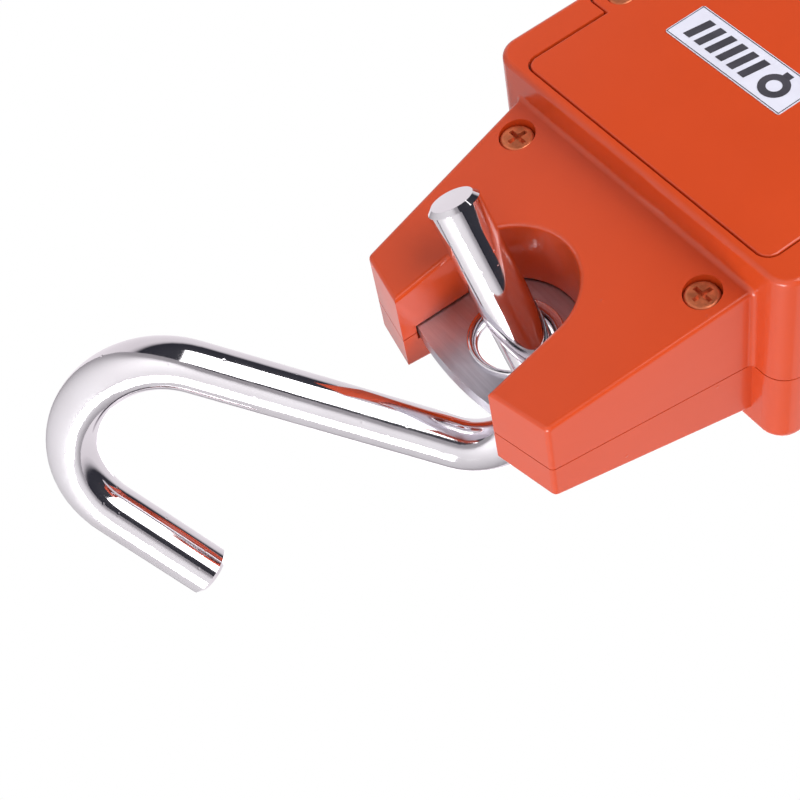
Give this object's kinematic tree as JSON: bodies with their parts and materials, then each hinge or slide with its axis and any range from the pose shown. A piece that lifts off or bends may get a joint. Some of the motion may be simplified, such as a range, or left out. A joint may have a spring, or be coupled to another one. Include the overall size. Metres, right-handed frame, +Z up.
{
  "type": "hanging digital scale",
  "caption": "Orange cast hanging scale with load plate, round-bar hooks above and below, display, keys and a screwed battery door.",
  "frame": {"origin": "bearing point of the upper hook: the highest point of the inside of its bowl", "axes": "+Z up along the load line, display side facing -Y, battery door facing +Y, +X to the right seen from the display side"},
  "size_m": [0.088, 0.0802, 0.3123],
  "materials": {
    "orange_paint": "gloss powder coat on die casting",
    "plated_bar": "bright nickel-chrome plating",
    "ground_steel": "ground and brushed",
    "bronzed_screw": "dull orange-brown passivated steel",
    "label_film": "pale film label with a dark pictogram",
    "black_plastic": "moulded black plastic",
    "overlay_film": "dark satin film",
    "clear_window": "clear acrylic",
    "lcd": "grey-green liquid crystal glass",
    "backlight_panel": "white diffuser",
    "key_grey": "pale grey moulded key",
    "circuit_board": "green solder mask",
    "component_black": "moulded packages",
    "cell_jacket": "printed metal jacket",
    "contact_metal": "nickel-plated spring steel",
    "lead_red": "soft insulation",
    "gauge_film": "amber polyimide film",
    "gauge_potting": "pale silicone"
  },
  "bodies": {
    "upper_hook": {"upper_hook": "plated_bar"},
    "casing": {"rear_shell": "orange_paint", "front_shell": "orange_paint", "case_screws": "bronzed_screw", "load_plate": "ground_steel", "upper_eye_bush": "plated_bar", "lower_eye_bush": "plated_bar", "strain_gauges": "gauge_film", "gauge_cover": "gauge_potting", "plate_screws": "ground_steel", "battery_tray": "black_plastic", "tray_screws": "ground_steel", "cell_1": "cell_jacket", "cell_2": "cell_jacket", "cell_3": "cell_jacket", "contact_plates": "contact_metal", "contact_springs": "contact_metal", "main_board": "circuit_board", "board_screws": "ground_steel", "board_parts": "component_black", "buzzer": "component_black", "lcd_frame": "black_plastic", "lcd_glass": "lcd", "lcd_backlight": "backlight_panel", "window_lens": "clear_window", "front_overlay": "overlay_film", "power_switch": "component_black", "hold_switch": "component_black", "tare_switch": "component_black", "battery_leads": "lead_red", "gauge_leads": "lead_red"},
    "lower_hook": {"lower_hook": "plated_bar"},
    "door": {"battery_door": "orange_paint", "door_screws": "bronzed_screw", "capacity_label": "label_film"},
    "power_key": {"power_button": "key_grey", "power_plunger": "component_black"},
    "hold_key": {"hold_button": "key_grey", "hold_plunger": "component_black"},
    "tare_key": {"tare_button": "key_grey", "tare_plunger": "component_black"}
  },
  "joints": [
    {"name": "casing_swing", "type": "hinge", "parent": "upper_hook", "child": "casing", "pos_m": [0, 0, -0.07216], "axis": [1, 0, 0], "range_deg": [-25, 25]},
    {"name": "lower_hook_swivel", "type": "hinge", "parent": "casing", "child": "lower_hook", "pos_m": [0, 0, -0.22196], "axis": [0, 0, 1], "range_deg": [0, 30]},
    {"name": "battery_door_lift", "type": "slide", "parent": "casing", "child": "door", "axis": [0, 1, 0], "range_m": [0, 0.02]},
    {"name": "power_key_press", "type": "slide", "parent": "casing", "child": "power_key", "axis": [0, 1, 0], "range_m": [0, 0.0006], "stiffness_N_per_m": 900},
    {"name": "hold_key_press", "type": "slide", "parent": "casing", "child": "hold_key", "axis": [0, 1, 0], "range_m": [0, 0.0006], "stiffness_N_per_m": 900},
    {"name": "tare_key_press", "type": "slide", "parent": "casing", "child": "tare_key", "axis": [0, 1, 0], "range_m": [0, 0.0006], "stiffness_N_per_m": 900}
  ]
}
